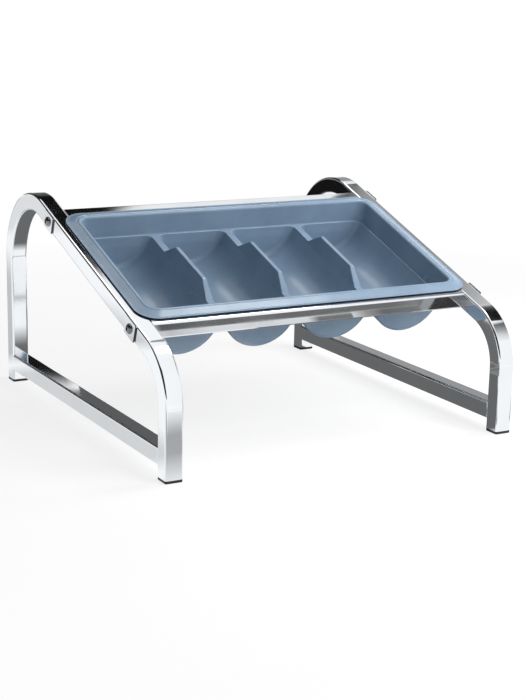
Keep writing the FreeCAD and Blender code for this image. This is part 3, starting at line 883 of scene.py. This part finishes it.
studio = {
    "floor": rgb(247, 247, 247),
    "floorSize": 24.0,
    "glow": 0.8,  # share of plain white in the floor beside the stand, so that its shadow stays faint
    "poolFrom": 0.55,  # the floor turns all white between these distances
    "poolTo": 1.5,
    "surround": 0.24,  # light of the surround on matt surfaces
    "lit": (0, 0, 0.2),  # what the lamps are aimed at
}


def makeStage(name, mesh, material):
    mesh.materials.append(material)
    stage = bpy.data.objects.new(name, mesh)
    bpy.context.scene.collection.objects.link(stage)
    return stage


def makeFloor():
    half = studio["floorSize"] / 2
    corners = [(-half, -half, 0), (half, -half, 0), (half, half, 0), (-half, half, 0)]
    mesh = bpy.data.meshes.new("floor")
    mesh.from_pydata(corners, [], [(0, 1, 2, 3)])
    finish = Finish("studio_floor")
    finish.set(BaseColor=studio["floor"], Roughness=0.9)
    distance = finish.add("ShaderNodeVectorMath", {"operation": "LENGTH"},
                          {0: finish.place}, output="Value")
    glow = finish.range(distance, studio["poolFrom"], studio["poolTo"], studio["glow"], 1.0)
    white = finish.add("ShaderNodeEmission", None, {"Color": (1, 1, 1, 1), "Strength": 1.0})
    shaded = Value(finish, finish.surface.outputs[0])
    mixed = finish.add("ShaderNodeMixShader", None,
                       {0: glow * finish.seenDirectly(), 1: shaded, 2: white})
    finish.feed(finish.tree.nodes["Material Output"].inputs["Surface"], mixed)
    makeStage("floor", mesh, finish.material)


def makeSurround():
    world = bpy.data.worlds.new("studio")
    bpy.context.scene.world = world
    world.use_nodes = True
    surround = Nodes(world.node_tree)
    strength = surround.range(surround.seenDirectly(), 0, 1, studio["surround"], 1.0)
    background = world.node_tree.nodes["Background"]
    surround.feed(background.inputs["Color"], (1, 1, 1, 1))
    surround.feed(background.inputs["Strength"], strength)


# Cards stand and lie round the stand, and show only in gloss and chrome: dark flags as in a
# product studio, and painted shadows on the floor and over the crossbar. They are dark shades
# drawn on a dome and on flat sheets, which are white elsewhere.

domeCards = (  # name, how high it is in degrees, between soft edges, then by direction how light
    ("back", (3, 4, 45, 46), ((-80, 1), (-72, 0.11), (31.3, 0.11), (32.2, 0.9), (41.5, 0.9), (42, 1))),
    ("backAbove", (18, 30, 45, 46), ((-80, 1), (-72, 0.06), (31.3, 0.06), (32.2, 1))),
    ("backLow", (3, 4, 26, 30), ((31.8, 1), (32.4, 0.36), (41.2, 0.36), (42.5, 1))),
    ("right", (29, 30, 56, 57.5),
     ((41.8, 1), (42.1, 0.06), (42.5, 0.06), (43.3, 0.38), (47, 0.3), (50, 0.36), (52, 0.62),
      (54.5, 0.6), (59, 0.15), (66, 0.05), (74, 0.013), (98, 0.013), (103.8, 0.04), (104, 1))),
    ("rightFront", (29, 30, 49, 51),
     ((103.8, 1), (104, 0.04), (106, 0.05), (113, 0.13), (119, 0.25), (125, 0.4), (132, 0.75),
      (138, 1))),
    # these three paint the shadow under the tray's rim onto the front crossbar's top, as a dark
    # reflection
    ("overCrossbar", (42.3, 42.6, 45.4, 45.8), ((36.8, 1), (37.3, 0.015), (44, 0.015), (44.5, 1))),
    ("overCrossbarCorner", (45, 45.2, 48, 48.5), ((40.5, 1), (40.8, 0.015), (44.3, 0.015), (44.5, 1))),
    ("overCrossbarEnd", (40, 40.3, 50, 51), ((43.6, 1), (44.1, 0.02), (48, 0.02), (48.6, 1))),
    ("front", (4, 7, 52, 58), ((-184, 1), (-174, 0.03), (-70, 0.03), (-60, 1))),
)

# painted shade on the floor, mostly the shadows of the stand and tray, with a lighter strip just in
# front of the crossbar
paintedFloorShade = (  # name, how far back it is, between soft edges, then from left to right how light
    ("crossbar", (-0.35, -0.345, -0.329, -0.327), ((-0.15, 1), (-0.13, 0.15), (0.2, 0.15), (0.21, 1))),
    ("crossbarLight", (-0.327, -0.326, -0.30, -0.29),
     ((-0.15, 1), (-0.12, 0.74), (0.11, 0.74), (0.13, 0.18), (0.2, 0.18), (0.21, 1))),
    ("crossbarEnd", (-0.35, -0.345, -0.295, -0.285),
     ((0.32, 1), (0.325, 0.04), (0.45, 0.04), (0.47, 1))),
    ("legBack", (-0.25, -0.235, -0.13, -0.11), ((0.266, 1), (0.27, 0.36), (0.4, 0.36), (0.42, 1))),
    ("leg", (-0.60, -0.48, -0.40, -0.26), ((-0.27, 0.42), (-0.12, 0.42), (-0.06, 1))),
    ("underLeft", (-0.10, 0.04, 0.72, 0.73), ((-0.21, 1), (-0.19, 0.15), (-0.001, 0.15), (0, 1))),
    ("underRight", (-0.285, -0.26, 0.72, 0.73), ((0, 1), (0.001, 0.14), (0.26, 0.14), (0.265, 1))),
    ("behind", (0.73, 0.74, 1.8, 1.9), ((-0.26, 1), (-0.24, 0.03), (0.4, 0.03), (0.5, 1))),
    ("besideLeft", (-0.24, -0.18, 0.3, 0.36), ((-0.37, 1), (-0.33, 0.7), (-0.275, 0.7), (-0.27, 1))),
    ("behindLeft", (0.36, 0.44, 1.4, 1.5), ((-0.66, 1), (-0.55, 0.6), (-0.29, 0.55), (-0.28, 1))),
    ("behindLeftFar", (1.5, 1.65, 2.35, 2.5), ((-1.2, 1), (-1.1, 0.78), (-0.75, 0.78), (-0.65, 1))),
)

# painted shade, which the right end of the front crossbar's front face mirrors
paintedCrossbarShade = (  # by the right front leg, level with the middle of it
    ("crossbarRight", (-0.287, -0.2865, -0.2645, -0.2625),
     ((0.125, 1), (0.126, 0.16), (0.2, 0.16), (0.244, 0.24))),
    ("crossbarFade", (-0.2645, -0.2625, -0.245, -0.244),
     ((0.126, 0.7), (0.15, 0.32), (0.18, 0.15), (0.244, 0.2))),
)

backCards = (  # upright, behind the stand: how high in metres, then from left to right how light
    ("bend", (0.0, 0.001, 0.26, 0.3), ((-0.45, 1), (-0.42, 0.008), (0.07, 0.008), (0.1, 1))),
)

dome = {
    "centre": (0, 0, 0.15),
    "radius": 20.0,
    "rises": range(2, 66, 3),  # heights of its rows in degrees
    "columns": 120,
    "turn": 20,  # degrees, brings the seam of the directions to where no card is
}

sheets = (  # name, two opposite corners, the axis that its cards' ranges are on, and its cards
    ("paintedFloorShade", (-1.4, -0.8, 0.001), (0.8, 2.8, 0.001), "Y", paintedFloorShade),
    ("paintedCrossbarShade", (0.126, -0.287, 0.085), (0.245, -0.244, 0.085), "Y", paintedCrossbarShade),
    ("backCards", (-0.45, 0.9, 0), (0.1, 0.9, 0.3), "Z", backCards),
)


def makeCards(name, mesh, finish, across, upward, cards):
    # the light of a sheet, where each card shades a range in one direction by the place in the other
    light = 1.0
    for _, (low, fullFrom, fullTo, high), stops in cards:
        cover = finish.range(upward, low, fullFrom, 0, 1) * finish.range(upward, fullTo, high, 1, 0)
        first, last = stops[0][0], stops[-1][0]
        shade = finish.ramp(finish.range(across, first, last, 0, 1),
                            *[((place - first) / (last - first), grey) for place, grey in stops])
        light = light * (1 - cover * (1 - shade))
    finish.set(BaseColor=(0, 0, 0, 1), SpecularIORLevel=0.0, Roughness=1.0,
               EmissionColor=light, EmissionStrength=1.0)
    finish.material.cycles.emission_sampling = "NONE"
    sheet = makeStage(name, mesh, finish.material)
    for ray in ("camera", "diffuse", "transmission", "shadow", "volume_scatter"):
        setattr(sheet, "visible_" + ray, False)
    return sheet


def makeDome():
    columns = dome["columns"]
    vertices = []
    for rise in dome["rises"]:
        for column in range(columns):
            turn = 2 * math.pi * column / columns
            vertices.append(towards(turn, math.radians(rise)) * dome["radius"])
    faces = []
    for row in range(len(dome["rises"]) - 1):
        faces += bandFaces(row * columns, (row + 1) * columns, columns)
    mesh = bpy.data.meshes.new("cardDome")
    mesh.from_pydata(vertices, [], faces)
    finish = Finish("card_dome")
    away = finish.add("ShaderNodeVectorMath", {"operation": "NORMALIZE"}, {0: finish.place})
    x, y, z = [finish.split(away, axis) for axis in "XYZ"]
    degrees = 180 / math.pi
    turn = finish.add("ShaderNodeMath", {"operation": "ARCTAN2"}, {0: x, 1: y}) * degrees
    rise = finish.add("ShaderNodeMath", {"operation": "ARCSINE"}, {0: z}) * degrees
    placed = makeCards("cardDome", mesh, finish, turn - dome["turn"], rise, domeCards)
    placed.location = dome["centre"]
    placed.rotation_euler.z = math.radians(dome["turn"])


def makeSheets():
    for name, (left, near, low), (right, far, high), upwards, cards in sheets:
        corners = [(left, near, low), (right, near, low), (right, far, high), (left, far, high)]
        mesh = bpy.data.meshes.new(name)
        mesh.from_pydata(corners, [], [(0, 1, 2, 3)])
        finish = Finish(name)
        across, upward = finish.split(finish.place, "X"), finish.split(finish.place, upwards)
        makeCards(name, mesh, finish, across, upward, cards)
    print("studio: %d cards" % sum(map(len, (domeCards, paintedFloorShade, paintedCrossbarShade, backCards))))


lamps = (  # name, direction and rise in degrees, distance, size, power, whether polished faces show it
    ("keySoftbox", 104, 67, 1.4, 0.4, 5.0, True),
    ("sideSoftbox", 100, 32, 1.1, 0.5, 8.0, False),
    ("cornerSoftbox", 156, 33, 1.6, 0.9, 19.5, False),
    ("frontSoftbox", 186, 66, 2.0, 0.4, 2.0, False),
    ("backSoftbox", 4, 61, 2.0, 0.5, 2.6, True),
)


def makeLamps():
    for name, direction, rise, distance, size, power, mirrored in lamps:
        light = bpy.data.lights.new(name, "AREA")
        light.energy = power
        light.shape = "SQUARE"
        light.size = size
        lamp = bpy.data.objects.new(name, light)
        bpy.context.scene.collection.objects.link(lamp)
        lamp.visible_glossy = mirrored
        away = towards(math.radians(direction), math.radians(rise))
        lamp.location = Vector(studio["lit"]) + away * distance
        lamp.rotation_mode = "QUATERNION"
        lamp.rotation_quaternion = away.to_track_quat("Z", "Y")
    print("studio: %d lamps" % len(lamps))


shot = {
    "place": (-1.0745, -1.9797, 0.6340),
    "turn": 29.05,  # degrees to the right of straight on
    "dip": 13.73,
    "roll": 1.22,
    "lens": 80.54,
}


def makeCamera():
    data = bpy.data.cameras.new("camera")
    data.lens = shot["lens"]
    camera = bpy.data.objects.new("camera", data)
    bpy.context.scene.collection.objects.link(camera)
    turn, dip, roll = [math.radians(shot[part]) for part in ("turn", "dip", "roll")]
    forward = towards(turn, -dip)
    level = Vector((math.cos(turn), -math.sin(turn), 0))
    upright = level.cross(forward)
    right = level * math.cos(roll) + upright * math.sin(roll)
    up = upright * math.cos(roll) - level * math.sin(roll)
    facing = Matrix((right, up, -forward)).transposed().to_4x4()
    camera.matrix_world = Matrix.Translation(shot["place"]) @ facing
    bpy.context.scene.camera = camera


makeFloor()
makeSurround()
makeDome()
makeSheets()
makeLamps()
makeCamera()
bpy.context.scene.view_settings.view_transform = "Standard"
